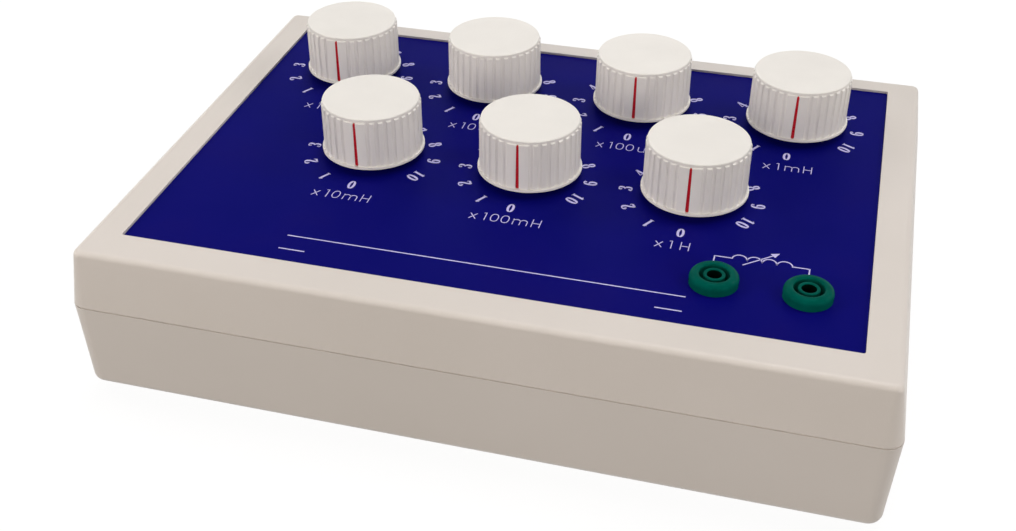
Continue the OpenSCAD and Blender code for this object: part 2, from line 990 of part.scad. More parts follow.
upper_shell();
lower_shell();
front_panel();
case_screws();
rubber_feet();
switch_nuts();
switch_washers();
switch_bases();
detent_balls();
detent_rings();
circuit_board();
sockets();
socket_contacts();
socket_nuts();
solder_lugs();
socket_wires();
for (i = [0:COUNT - 1]) {
  knob(i);
  cap(i);
  spindle(i);
  switch_body(i);
  terminals(i);
  coils(i);
}
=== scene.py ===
import json
import math
import random

import bpy
from mathutils import Matrix, Vector


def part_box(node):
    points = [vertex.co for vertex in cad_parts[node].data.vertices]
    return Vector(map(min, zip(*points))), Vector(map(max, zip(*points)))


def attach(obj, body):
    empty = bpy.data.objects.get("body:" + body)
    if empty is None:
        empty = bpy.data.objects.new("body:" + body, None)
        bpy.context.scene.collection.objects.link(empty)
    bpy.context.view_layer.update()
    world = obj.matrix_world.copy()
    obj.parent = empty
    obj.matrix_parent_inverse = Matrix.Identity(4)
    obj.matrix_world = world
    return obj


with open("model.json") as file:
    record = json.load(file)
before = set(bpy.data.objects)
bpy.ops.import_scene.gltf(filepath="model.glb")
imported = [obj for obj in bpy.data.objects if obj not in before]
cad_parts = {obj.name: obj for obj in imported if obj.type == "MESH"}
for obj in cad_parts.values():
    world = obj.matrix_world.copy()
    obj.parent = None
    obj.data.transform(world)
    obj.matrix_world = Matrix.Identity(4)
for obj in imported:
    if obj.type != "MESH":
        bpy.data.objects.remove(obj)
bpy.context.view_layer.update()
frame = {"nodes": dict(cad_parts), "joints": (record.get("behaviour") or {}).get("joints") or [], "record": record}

MM = 0.001
DECADES = ("x1uh", "x10uh", "x100uh", "x1mh", "x10mh", "x100mh", "x1h")

# Pointer angles in degrees: at 0, from one number to the next, and away from 0 when at rest

ZERO = -90.0
STEP = 30.0
REST = {"x10uh": -150.0}
LAST_NUMBER = 10

# The panel's face and middle, and the knobs' axes from that middle, in millimetres

panel_low, panel_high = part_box("front_panel")
FACE = panel_high.z / MM
PANEL_Y = (panel_low.y + panel_high.y) / 2 / MM
axis_of = {joint["name"][len("turn_"):]: (joint["pos_m"][0] / MM, joint["pos_m"][1] / MM - PANEL_Y)
           for joint in frame["joints"]}


# Camera at the photograph's view, placed in millimetres from the middle of the panel's face

CAMERA_AT = (90.83, -374.52, 226.50)
CAMERA_RIGHT = (0.9624, 0.2714, -0.0080)
CAMERA_BACK = (0.2206, -0.7646, 0.6055)
SENSOR_W = 36.0
FOCAL_LENGTH = 46.41
SHIFT_X = 0.0196
SHIFT_Y = 0.0498
NEAREST_SEEN = 0.01


def add_camera():
    data = bpy.data.cameras.new("photo_view")
    data.sensor_width = SENSOR_W
    data.lens = FOCAL_LENGTH
    data.shift_x = SHIFT_X
    data.shift_y = SHIFT_Y
    data.clip_start = NEAREST_SEEN
    right = Vector(CAMERA_RIGHT).normalized()
    back = Vector(CAMERA_BACK).normalized()
    up = back.cross(right).normalized()
    right = up.cross(back)
    turn = Matrix((right, up, back)).transposed().to_4x4()
    place = Vector((CAMERA_AT[0], CAMERA_AT[1] + PANEL_Y, CAMERA_AT[2] + FACE)) * MM
    camera = bpy.data.objects.new("photo_view", data)
    camera.matrix_world = Matrix.Translation(place) @ turn
    bpy.context.scene.collection.objects.link(camera)
    bpy.context.scene.camera = camera


add_camera()


# Materials. Most values of a noise texture lie between the two shares below.

NOISE_LOW = 0.3
NOISE_HIGH = 0.7


def linear(rgb):
    """The linear colour for a screen's values of 0 to 255."""
    shares = [value / 255.0 for value in rgb]
    return tuple(v / 12.92 if v <= 0.04045 else ((v + 0.055) / 1.055) ** 2.4 for v in shares) + (1.0,)


def maths(tree, operation, first, second):
    """The result of a maths node. second is a number or another output."""
    node = tree.nodes.new("ShaderNodeMath")
    node.operation = operation
    tree.links.new(first, node.inputs[0])
    if isinstance(second, float):
        node.inputs[1].default_value = second
    else:
        tree.links.new(second, node.inputs[1])
    return node.outputs[0]


class Surface:
    """A Principled material in object coordinates, with helpers for noise, colour and bump."""

    def __init__(self, name, metallic=0.0, specular=0.5, coat=0.0, coat_roughness=0.1):
        self.mat = bpy.data.materials.new(name)
        self.mat.use_nodes = True
        self.tree = self.mat.node_tree
        self.shader = self.tree.nodes["Principled BSDF"]
        self.put("Metallic", metallic)
        self.put("Specular IOR Level", specular)
        self.put("Coat Weight", coat)
        self.put("Coat Roughness", coat_roughness)
        self.coord = self.node("ShaderNodeTexCoord").outputs["Object"]

    def put(self, socket, value):
        self.shader.inputs[socket].default_value = value

    def node(self, kind):
        return self.tree.nodes.new(kind)

    def link(self, source, target):
        self.tree.links.new(source, target)

    def noise(self, scale, detail=2.0, rough=0.5, stretch=None):
        """scale is per metre, as object coordinates are in metres."""
        texture = self.node("ShaderNodeTexNoise")
        texture.inputs["Scale"].default_value = scale
        texture.inputs["Detail"].default_value = detail
        texture.inputs["Roughness"].default_value = rough
        source = self.coord
        if stretch:
            mapping = self.node("ShaderNodeMapping")
            mapping.inputs["Scale"].default_value = stretch
            self.link(self.coord, mapping.inputs["Vector"])
            source = mapping.outputs["Vector"]
        self.link(source, texture.inputs["Vector"])
        return texture.outputs["Fac"]

    def wave(self, scale, distortion, direction):
        texture = self.node("ShaderNodeTexWave")
        texture.bands_direction = direction
        texture.inputs["Scale"].default_value = scale
        texture.inputs["Distortion"].default_value = distortion
        self.link(self.coord, texture.inputs["Vector"])
        return texture.outputs["Fac"]

    def ramp(self, source, stops):
        """A colour from source, by stops of a share and a screen's colour."""
        ramp = self.node("ShaderNodeValToRGB")
        while len(ramp.color_ramp.elements) < len(stops):
            ramp.color_ramp.elements.new(0.5)
        for element, (share, rgb) in zip(ramp.color_ramp.elements, stops):
            element.position = share
            element.color = linear(rgb)
        self.link(source, ramp.inputs["Fac"])
        return ramp.outputs["Color"]

    def tint(self, source, dark, light, low=NOISE_LOW, high=NOISE_HIGH):
        return self.ramp(source, [(low, dark), (high, light)])

    def mix(self, share, first, second):
        node = self.node("ShaderNodeMixRGB")
        self.link(share, node.inputs["Fac"])
        self.link(first, node.inputs["Color1"])
        self.link(second, node.inputs["Color2"])
        return node.outputs["Color"]

    def colour(self, source):
        self.link(source, self.shader.inputs["Base Color"])

    def rough(self, source, low, high):
        """Roughness from low to high, by a noise."""
        spread = self.node("ShaderNodeMapRange")
        spread.inputs["From Min"].default_value = NOISE_LOW
        spread.inputs["From Max"].default_value = NOISE_HIGH
        spread.inputs["To Min"].default_value = low
        spread.inputs["To Max"].default_value = high
        self.link(source, spread.inputs["Value"])
        self.link(spread.outputs["Result"], self.shader.inputs["Roughness"])

    def bump(self, *layers):
        """Each layer is (height, strength, distance in metres)."""
        last = None
        for height, strength, distance in layers:
            node = self.node("ShaderNodeBump")
            node.inputs["Strength"].default_value = strength
            node.inputs["Distance"].default_value = distance
            self.link(height, node.inputs["Height"])
            if last:
                self.link(last, node.inputs["Normal"])
            last = node.outputs["Normal"]
        self.link(last, self.shader.inputs["Normal"])


def case_plastic():
    look = Surface("case_plastic")
    look.colour(look.tint(look.noise(14.0, 3.0), (215, 208, 202), (220, 213, 208)))
    look.rough(look.noise(900.0, 3.0), 0.34, 0.46)
    look.bump((look.noise(2600.0, 3.0, 0.6), 0.22, 0.0002), (look.noise(160.0), 0.06, 0.0006))
    return look.mat


def panel_film():
    look = Surface("panel_film", specular=0.012)
    cloud = look.noise(16.0, 4.0, 0.6)
    look.colour(look.ramp(cloud, [(0.3, (6, 8, 103)), (0.55, (11, 10, 108)), (0.75, (18, 12, 105))]))
    look.rough(look.noise(1200.0, 3.0), 0.34, 0.46)
    look.bump((look.noise(3200.0, 2.0, 0.6), 0.12, 0.0001), (look.noise(45.0), 0.03, 0.0008))
    return look.mat


def knob_plastic():
    look = Surface("knob_plastic")
    look.colour(look.tint(look.noise(60.0, 3.0), (235, 232, 228), (240, 237, 233)))
    look.rough(look.noise(1400.0, 3.0), 0.34, 0.46)
    look.bump((look.noise(3000.0, 3.0, 0.6), 0.12, 0.0001), (look.noise(420.0), 0.06, 0.0003))
    return look.mat


# Plug holes of the sockets, worked out from the sockets' box. The shade inside the holes is painted into the
# socket colour: HOLE_R takes in the holes' walls, and the painted shade starts MOUTH_DEPTH below the sockets'
# tops.

HEAD_R = 7.4
HOLE_R = 2.5
MOUTH_DEPTH = 0.7

socket_low, socket_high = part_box("sockets")
HOLE_XS = (socket_low.x / MM + HEAD_R, socket_high.x / MM - HEAD_R)
HOLE_Y = (socket_low.y + socket_high.y) / 2 / MM
HOLE_MOUTH = socket_high.z / MM - MOUTH_DEPTH


def in_plug_holes(look):
    """Mask of painted shade: 1 inside the two plug holes, under their mouths, and 0 elsewhere."""
    distances = []
    for x in HOLE_XS:
        offset = look.node("ShaderNodeVectorMath")
        offset.operation = "MULTIPLY_ADD"
        offset.inputs[1].default_value = (1.0, 1.0, 0.0)
        offset.inputs[2].default_value = (-x * MM, -HOLE_Y * MM, 0.0)
        look.link(look.coord, offset.inputs[0])
        length = look.node("ShaderNodeVectorMath")
        length.operation = "LENGTH"
        look.link(offset.outputs["Vector"], length.inputs[0])
        distances.append(length.outputs["Value"])
    split = look.node("ShaderNodeSeparateXYZ")
    look.link(look.coord, split.inputs[0])
    nearest = maths(look.tree, "MINIMUM", *distances)
    near = maths(look.tree, "LESS_THAN", nearest, HOLE_R * MM)
    low = maths(look.tree, "LESS_THAN", split.outputs["Z"], HOLE_MOUTH * MM)
    return maths(look.tree, "MULTIPLY", near, low)


def socket_plastic():
    look = Surface("socket_plastic", specular=0.02)
    look.put("Specular Tint", (0.04, 1.0, 0.86, 1.0))
    cloud = look.noise(240.0, 3.0)
    green = look.tint(cloud, (0, 80, 70), (1, 90, 79))
    # Painted shade: a dark green put inside the plug holes where shade falls
    dark = look.tint(cloud, (0, 20, 14), (1, 26, 19))
    look.colour(look.mix(in_plug_holes(look), green, dark))
    look.rough(look.noise(700.0, 3.0), 0.05, 0.09)
    look.bump((look.noise(900.0), 0.06, 0.0002))
    return look.mat


def rubber():
    look = Surface("rubber", specular=0.35)
    look.colour(look.tint(look.noise(300.0, 3.0), (24, 24, 25), (36, 35, 35)))
    look.rough(look.noise(900.0), 0.72, 0.88)
    look.bump((look.noise(1800.0, 3.0), 0.3, 0.0003))
    return look.mat


def metal(name, dark, light, low, high, stretch):
    look = Surface(name, metallic=1.0)
    look.colour(look.tint(look.noise(500.0, 3.0), dark, light))
    look.rough(look.noise(900.0, 3.0, 0.5, stretch), low, high)
    look.bump((look.noise(1500.0, 2.0, 0.5, stretch), 0.08, 0.0001))
    return look.mat


def phenolic():
    look = Surface("phenolic")
    look.colour(look.tint(look.noise(420.0, 4.0, 0.7), (64, 40, 26), (92, 62, 42), 0.35, 0.65))
    look.rough(look.noise(1100.0, 3.0), 0.38, 0.55)
    look.bump((look.noise(2200.0, 3.0), 0.15, 0.0002))
    return look.mat


def board_mask():
    look = Surface("board_mask", coat=0.4, coat_roughness=0.15)
    weave = look.wave(160.0, 2.0, "X")
    look.colour(look.tint(weave, (18, 82, 42), (26, 98, 52)))
    look.rough(look.noise(800.0, 3.0), 0.28, 0.4)
    look.bump((weave, 0.1, 0.0002))
    return look.mat


def winding():
    look = Surface("winding", metallic=0.6, coat=0.5, coat_roughness=0.2)
    turns = look.wave(900.0, 0.4, "Z")
    look.colour(look.tint(turns, (110, 52, 24), (196, 112, 62), 0.2, 0.8))
    look.rough(look.noise(900.0), 0.25, 0.4)
    look.bump((turns, 0.6, 0.0003))
    return look.mat


def print_ink():
    look = Surface("print_ink", specular=0.35)
    look.colour(look.tint(look.noise(1100.0, 3.0, 0.6), (190, 184, 236), (212, 206, 248)))
    look.rough(look.noise(1500.0), 0.4, 0.55)
    look.bump((look.noise(5000.0), 0.15, 0.00005))
    return look.mat


def pointer_paint():
    look = Surface("pointer_paint")
    look.colour(look.tint(look.noise(1600.0, 3.0, 0.6), (176, 6, 14), (206, 12, 22)))
    look.rough(look.noise(1400.0), 0.25, 0.4)
    look.bump((look.noise(2500.0), 0.2, 0.0001))
    return look.mat


# Streaks in metal run along Z, or along X and Y. The keys of MATERIALS are the record's slots.

ALONG_Z = (1.0, 1.0, 0.08)
ALONG_XY = (0.12, 0.12, 1.0)
MATERIALS = {
    "case": case_plastic(),
    "panel": panel_film(),
    "knob": knob_plastic(),
    "socket": socket_plastic(),
    "rubber": rubber(),
    "steel": metal("plated_steel", (176, 178, 182), (206, 207, 210), 0.2, 0.36, ALONG_XY),
    "spindle": metal("turned_steel", (170, 170, 174), (200, 200, 202), 0.24, 0.4, ALONG_Z),
    "brass": metal("brass", (190, 152, 78), (216, 180, 104), 0.22, 0.38, ALONG_XY),
    "copper": metal("copper_wire", (178, 100, 60), (206, 124, 80), 0.25, 0.4, ALONG_Z),
    "phenolic": phenolic(),
    "board": board_mask(),
}
WINDING = winding()
INK = print_ink()
RED = pointer_paint()


def dress_nodes():
    slots = {part["node"]: part["material_slot"] for part in frame["record"]["subparts"]}
    for name, obj in frame["nodes"].items():
        material = WINDING if name.startswith("coils_") else MATERIALS[slots[name]]
        for place in obj.material_slots:
            place.material = material


dress_nodes()


def add_mesh(name, verts, faces, material):
    mesh = bpy.data.meshes.new(name)
    mesh.from_pydata(verts, [], faces)
    mesh.materials.append(material)
    obj = bpy.data.objects.new(name, mesh)
    bpy.context.scene.collection.objects.link(obj)
    return obj


# Flat printed shapes, drawn in millimetres from the middle of the panel

INK_LOW = 0.01
INK_T = 0.04
SAME_POINT = 1e-6
NO_AREA = 1e-9
DOT_SIDES = 20
CURVE_STEPS = 8


class Print:
    """Collects outlines and makes one thin mesh that lies on the panel."""

    def __init__(self):
        self.verts = []
        self.faces = []

    def face(self, points):
        start = len(self.verts)
        self.verts += [(x, y) for x, y in points]
        self.faces.append(tuple(range(start, start + len(points))))

    def strip(self, points, half_width):
        """A stroke along points. half_width(nx, ny) gives half the width across its normal."""
        left, right = [], []
        last = len(points) - 1
        closed = math.dist(points[0], points[last]) < SAME_POINT
        for i, (x, y) in enumerate(points):
            if closed:
                before = points[i - 1 if i else last - 1]
                after = points[i + 1 if i < last else 1]
            else:
                before = points[max(i - 1, 0)]
                after = points[min(i + 1, last)]
            dx, dy = after[0] - before[0], after[1] - before[1]
            length = math.hypot(dx, dy) or 1.0
            nx, ny = -dy / length, dx / length
            half = half_width(nx, ny)
            left.append((x + nx * half, y + ny * half))
            right.append((x - nx * half, y - ny * half))
        for i in range(last):
            self.face((right[i], right[i + 1], left[i + 1], left[i]))

    def line(self, points, width):
        """A stroke of even width."""
        self.strip(points, lambda nx, ny: width / 2)

    def dot(self, x, y, r):
        turns = [2 * math.pi * k / DOT_SIDES for k in range(DOT_SIDES)]
        self.face([(x + r * math.cos(turn), y + r * math.sin(turn)) for turn in turns])

    def place(self, other, x, y, turn=0.0, size=1.0):
        """Adds another print, turned in degrees and sized, with its zero point at x, y."""
        c, s = math.cos(math.radians(turn)), math.sin(math.radians(turn))
        start = len(self.verts)
        self.verts += [(x + size * (u * c - v * s), y + size * (u * s + v * c)) for u, v in other.verts]
        self.faces += [tuple(start + k for k in face) for face in other.faces]

    def build(self, name):
        """Makes every outline a thin solid on the panel. The whole is one piece of the case."""
        low, high = (FACE + INK_LOW) * MM, (FACE + INK_LOW + INK_T) * MM
        verts, faces = [], []
        for face in self.faces:
            ring = [self.verts[k] for k in face]
            area = sum(a[0] * b[1] - b[0] * a[1] for a, b in zip(ring, ring[1:] + ring[:1]))
            if abs(area) < NO_AREA:
                continue
            if area < 0:
                ring.reverse()
            count = len(ring)
            foot = len(verts)
            top = foot + count
            verts += [(x * MM, (y + PANEL_Y) * MM, low) for x, y in ring]
            verts += [(x * MM, (y + PANEL_Y) * MM, high) for x, y in ring]
            faces.append(tuple(range(top, top + count)))
            faces.append(tuple(reversed(range(foot, top))))
            for k in range(count):
                after = (k + 1) % count
                faces.append((foot + k, foot + after, top + after, top + k))
        obj = add_mesh(name, verts, faces, INK)
        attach(obj, "case")


def arc(x, y, rx, ry, start, end, steps):
    """Points round part of an ellipse, from start to end in degrees."""
    turns = [math.radians(start + (end - start) * k / steps) for k in range(steps + 1)]
    return [(x + rx * math.cos(turn), y + ry * math.sin(turn)) for turn in turns]


def between(before, start, end, after, t):
    """The value at share t of the way from start to end, on a smooth line through all four."""
    slope = end - before
    bend = 2 * before - 5 * start + 4 * end - after
    twist = 3 * start - before - 3 * end + after
    return 0.5 * (2 * start + slope * t + bend * t * t + twist * t ** 3)


def curve(points):
    """A smooth line through the points."""
    ends = [points[0]] + list(points) + [points[-1]]
    line = []
    for four in zip(ends, ends[1:], ends[2:], ends[3:]):
        xs, ys = zip(*four)
        shares = [k / CURVE_STEPS for k in range(CURVE_STEPS)]
        line += [(between(*xs, t), between(*ys, t)) for t in shares]
    return line + [points[-1]]


# Numerals, drawn 1 high from a foot at 0. Upright strokes are thick and level ones are thin.

THICK = 0.175
THIN = 0.05
FLAG = 0.06
SERIF = 0.045
DIAGONAL = 0.055
BAR = 0.15
SHORT_BAR = 0.12


def broad(nx, ny):
    """Half the width of a numeral's stroke, from the stroke's normal."""
    return 0.5 * math.hypot(THICK * nx, THIN * ny)


def numeral_0(shape):
    shape.strip(arc(0.27, 0.5, 0.185, 0.475, 0, 360, 48), broad)


def numeral_1(shape):
    shape.strip([(0.20, 0.02), (0.20, 0.98)], broad)
    shape.line(curve([(0.03, 0.84), (0.10, 0.86), (0.17, 0.95)]), FLAG)
    shape.line([(0.04, 0.02), (0.36, 0.02)], SERIF)


def numeral_2(shape):
    shape.dot(0.13, 0.74, 0.085)
    shape.strip(curve([(0.07, 0.74), (0.12, 0.90), (0.27, 0.975), (0.42, 0.90), (0.45, 0.74),
                       (0.38, 0.55), (0.22, 0.33), (0.08, 0.08)]), broad)
    shape.line([(0.05, 0.075), (0.47, 0.075)], BAR)
    shape.line(curve([(0.47, 0.06), (0.50, 0.15), (0.51, 0.26)]), THIN)


def numeral_3(shape):
    shape.dot(0.12, 0.80, 0.08)
    shape.strip(curve([(0.07, 0.81), (0.14, 0.94), (0.26, 0.975), (0.38, 0.91), (0.41, 0.76),
                       (0.35, 0.60), (0.20, 0.53)]), broad)
    shape.strip(curve([(0.20, 0.53), (0.38, 0.47), (0.44, 0.29), (0.38, 0.10), (0.25, 0.025),
                       (0.12, 0.06), (0.05, 0.18)]), broad)
    shape.dot(0.11, 0.19, 0.085)


def numeral_4(shape):
    shape.line([(0.37, 0.98), (0.03, 0.28)], DIAGONAL)
    shape.line([(0.02, 0.28), (0.56, 0.28)], DIAGONAL)
    shape.strip([(0.38, 0.02), (0.38, 0.98)], broad)
    shape.line([(0.24, 0.02), (0.52, 0.02)], SERIF)


def numeral_5(shape):
    shape.line(curve([(0.11, 0.93), (0.25, 0.90), (0.44, 0.94)]), SHORT_BAR)
    shape.line([(0.11, 0.96), (0.09, 0.50)], THIN)
    shape.strip(curve([(0.09, 0.51), (0.20, 0.61), (0.36, 0.56), (0.43, 0.33), (0.37, 0.11),
                       (0.24, 0.025), (0.11, 0.06), (0.05, 0.18)]), broad)
    shape.dot(0.11, 0.19, 0.085)


def numeral_6(shape):
    shape.dot(0.41, 0.84, 0.075)
    shape.strip(curve([(0.46, 0.85), (0.40, 0.95), (0.29, 0.975), (0.16, 0.86), (0.09, 0.62),
                       (0.09, 0.35), (0.16, 0.11), (0.27, 0.025)]), broad)
    shape.strip(arc(0.28, 0.31, 0.17, 0.285, -90, 160, 32), broad)


def numeral_7(shape):
    shape.line([(0.05, 0.92), (0.49, 0.92)], BAR)
    shape.line([(0.06, 0.97), (0.04, 0.74)], THIN)
    shape.strip(curve([(0.49, 0.93), (0.38, 0.68), (0.27, 0.42), (0.22, 0.06)]), broad)


def numeral_8(shape):
    shape.strip(arc(0.27, 0.755, 0.145, 0.22, 0, 360, 40), broad)
    shape.strip(arc(0.27, 0.275, 0.185, 0.25, 0, 360, 40), broad)


def numeral_9(shape):
    """The six turned over."""
    six = Print()
    numeral_6(six)
    shape.place(six, 0.54, 1.0, 180.0)


# How to draw each numeral, and its width

NUMERALS = {"0": (numeral_0, 0.54), "1": (numeral_1, 0.38), "2": (numeral_2, 0.54),
            "3": (numeral_3, 0.53), "4": (numeral_4, 0.58), "5": (numeral_5, 0.53),
            "6": (numeral_6, 0.54), "7": (numeral_7, 0.52), "8": (numeral_8, 0.54),
            "9": (numeral_9, 0.54)}


# Unit marks: light, wide characters of even stroke, in millimetres

LIGHT = 0.29
CAPITAL_H = 4.3
SMALL_H = 3.15
CROSS_H = 3.05
ARCH_R = 1.125
SQUARENESS = 0.85
RING_STEPS = 48


def squared(value):
    """A sine or cosine moved outwards, which makes an oval ring a little squarer."""
    return math.copysign(abs(value) ** SQUARENESS, value)


def mark_cross(shape):
    shape.line([(-1.1, 0.0), (1.1, CROSS_H)], LIGHT)
    shape.line([(-1.1, CROSS_H), (1.1, 0.0)], LIGHT)


def mark_1(shape):
    shape.line([(0.85, 0.0), (0.85, CAPITAL_H)], LIGHT)
    shape.line([(0.05, 4.0), (0.85, 4.18)], LIGHT)


def mark_0(shape):
    turns = [2 * math.pi * k / RING_STEPS for k in range(RING_STEPS + 1)]
    shape.line([(1.75 + 1.2 * squared(math.cos(turn)), 2.15 + 2.0 * squared(math.sin(turn)))
                for turn in turns], LIGHT)


def mark_m(shape):
    shape.line([(1.0, 0.0), (1.0, SMALL_H)], LIGHT)
    for x in (1.0, 1.0 + 2 * ARCH_R):
        arch = arc(x + ARCH_R, 1.95, ARCH_R, 1.05, 180, 0, 20)
        shape.line([(x, 1.9)] + arch + [(x + 2 * ARCH_R, 0.0)], LIGHT)


def mark_u(shape):
    bowl = arc(2.32, 1.2, 1.07, 1.05, 180, 360, 20)
    shape.line([(1.25, SMALL_H), (1.25, 1.2)] + bowl + [(3.39, SMALL_H)], LIGHT)
    shape.line([(3.39, 1.3), (3.39, 0.0)], LIGHT)


def mark_h(shape):
    shape.line([(0.6, 0.0), (0.6, CAPITAL_H)], LIGHT)
    shape.line([(3.15, 0.0), (3.15, CAPITAL_H)], LIGHT)
    shape.line([(0.6, 2.15), (3.15, 2.15)], LIGHT)


def mark_space(shape):
    """Nothing is drawn in a space."""


# How to draw each character of a unit mark, and its width

CHARACTERS = {"x": (mark_cross, 2.05), "1": (mark_1, 2.05), "0": (mark_0, 3.5), "m": (mark_m, 6.5),
              "u": (mark_u, 4.4), "H": (mark_h, 3.3), " ": (mark_space, 1.05)}
MARKS = {"x1uh": "x 1uH", "x10uh": "x 10uH", "x100uh": "x 100uH", "x1mh": "x 1mH",
         "x10mh": "x 10mH", "x100mh": "x 100mH", "x1h": "x 1 H"}


def row(characters, text, gap=0.0):
    """The text's characters side by side from 0, and the width of the whole."""
    shape = Print()
    x = 0.0
    for char in text:
        draw, width = characters[char]
        single = Print()
        draw(single)
        shape.place(single, x, 0.0)
        x += width + gap
    return shape, x - gap


# Each printed ring's middle, from its knob's axis, and its radius. The rings lie off the axes.

RINGS = {"x1uh": (-0.35, -2.15, 21.6), "x10uh": (-0.1, -2.6, 21.85), "x100uh": (-0.35, -2.55, 22.1),
         "x1mh": (-0.8, -1.95, 22.0), "x10mh": (0.55, -2.2, 21.5), "x100mh": (-0.2, -2.5, 21.4),
         "x1h": (-0.5, -2.5, 21.5)}
NUMBER_H = 4.5
NUMERAL_GAP = 0.24

# Foot of each unit mark's cross, from the knob's axis

MARK_AT = {"x1uh": (-6.4, -33.0), "x10uh": (-6.6, -33.65), "x100uh": (-8.55, -33.85),
           "x1mh": (-6.7, -33.4), "x10mh": (-9.15, -32.75), "x100mh": (-10.6, -32.8),
           "x1h": (-6.1, -33.3)}


def dial(name):
    """A knob's ring of numbers and its unit mark."""
    shape = Print()
    knob_x, knob_y = axis_of[name]
    ring_x, ring_y, radius = RINGS[name]
    for number in range(LAST_NUMBER + 1):
        numerals, width = row(NUMERALS, str(number), NUMERAL_GAP)
        centred = Print()
        centred.place(numerals, -width / 2, -0.5)
        angle = ZERO - STEP * number
        x = knob_x + ring_x + radius * math.cos(math.radians(angle))
        y = knob_y + ring_y + radius * math.sin(math.radians(angle))
        shape.place(centred, x, y, angle - 90.0, NUMBER_H)
    mark = row(CHARACTERS, MARKS[name])[0]
    mark_x, mark_y = MARK_AT[name]
    shape.place(mark, knob_x + mark_x, knob_y + mark_y)
    shape.build("dial_print_" + name)


for decade in DECADES:
    dial(decade)


# Coil symbol that joins the sockets: two leads, level wires, four loops and an arrow across them

SYMBOL_LINE = 0.42
LEAD_FOOT = -50.3
LEFT_LEAD_X = 66.45
RIGHT_LEAD_X = 94.8
LEFT_WIRE_Y = -41.4
RIGHT_WIRE_Y = -41.3
COIL_END_Y = -41.35
LOOP_FOOT = -41.7
LOOP_H = 2.5
LOOP_ENDS = (71.68, 76.2, 80.7, 85.1, 89.8)
ARROW_TAIL = (75.18, -44.21)
ARROW_TIP = (85.44, -35.38)
ARROW_HEAD_L = 2.6
ARROW_HEAD_HALF_W = 1.15


def arrow(shape):
    length = math.dist(ARROW_TAIL, ARROW_TIP)
    ux, uy = (ARROW_TIP[0] - ARROW_TAIL[0]) / length, (ARROW_TIP[1] - ARROW_TAIL[1]) / length
    neck_x, neck_y = ARROW_TIP[0] - ux * ARROW_HEAD_L, ARROW_TIP[1] - uy * ARROW_HEAD_L
    side_x, side_y = uy * ARROW_HEAD_HALF_W, ux * ARROW_HEAD_HALF_W
    shape.line([ARROW_TAIL, (neck_x, neck_y)], SYMBOL_LINE)
    shape.face((ARROW_TIP, (neck_x - side_x, neck_y + side_y), (neck_x + side_x, neck_y - side_y)))


def symbol():
    shape = Print()
    half = SYMBOL_LINE / 2
    shape.line([(LEFT_LEAD_X, LEAD_FOOT), (LEFT_LEAD_X, LEFT_WIRE_Y + half)], SYMBOL_LINE)
    shape.line([(LEFT_LEAD_X, LEFT_WIRE_Y), (LOOP_ENDS[0], LEFT_WIRE_Y)], SYMBOL_LINE)
    for start, end in zip(LOOP_ENDS, LOOP_ENDS[1:]):
        loop = arc((start + end) / 2, LOOP_FOOT, (end - start) / 2, LOOP_H, 180, 0, 24)
        shape.line(loop, SYMBOL_LINE)
    shape.line([(LOOP_ENDS[-1], COIL_END_Y), (RIGHT_LEAD_X, RIGHT_WIRE_Y)], SYMBOL_LINE)
    shape.line([(RIGHT_LEAD_X, LEAD_FOOT), (RIGHT_LEAD_X, RIGHT_WIRE_Y + half)], SYMBOL_LINE)
    arrow(shape)
    shape.build("coil_symbol")


# Rules at the front: a long one, and a short one in front of each of its ends

RULE_LINE = 0.43
LONG_RULE_Y = -64.7
SHORT_RULE_Y = -71.9
RULES = ((-63.3, 61.2, LONG_RULE_Y), (-63.3, -54.8, SHORT_RULE_Y), (53.3, 61.25, SHORT_RULE_Y))


def rules():
    shape = Print()
    for start, end, y in RULES:
        shape.line([(start, y), (end, y)], RULE_LINE)
    shape.build("panel_rules")


symbol()
rules()


# Red paint in each knob's pointer groove. Its ends are rounded, its edges a little ragged and its
# middle a little hollow. GROOVE_FLOOR is measured from the knob's axis, GROOVE_FOOT and GROOVE_HEAD
# from the knob's foot and top.

GROOVE_FLOOR = 16.25
GROOVE_FOOT = 0.7
GROOVE_HEAD = 0.25
PAINT_T = 0.40
PAINT_LIFT = 0.01
PAINT_TOP_W = 0.76
PAINT_FOOT_W = 1.1
PAINT_MARGIN = 0.12
PAINT_ROWS = 40
PAINT_ACROSS = 6
END_ROWS = 1.5
END_SHARE = 0.45
END_RISE = 0.2
RAGGED = 0.03
HOLLOW = 0.18


def slab_faces(rows, across):
    """Faces round a grid of front points, followed by as many back points in the same order."""
    per_row = across + 1
    back = (rows + 1) * per_row
    faces = []

    def wall(first, second, forwards):
        ring = (first, second, back + second, back + first)
        faces.append(ring if forwards else ring[::-1])

    for i in range(rows):
        start = i * per_row
        for a in range(start, start + across):
            b = a + per_row
            faces.append((a, a + 1, b + 1, b))
            faces.append((back + a, back + b, back + b + 1, back + a + 1))
        wall(start, start + per_row, True)
        wall(start + across, start + across + per_row, False)
    for start, forwards in ((0, False), (rows * per_row, True)):
        for a in range(start, start + across):
            wall(a, a + 1, forwards)
    return faces


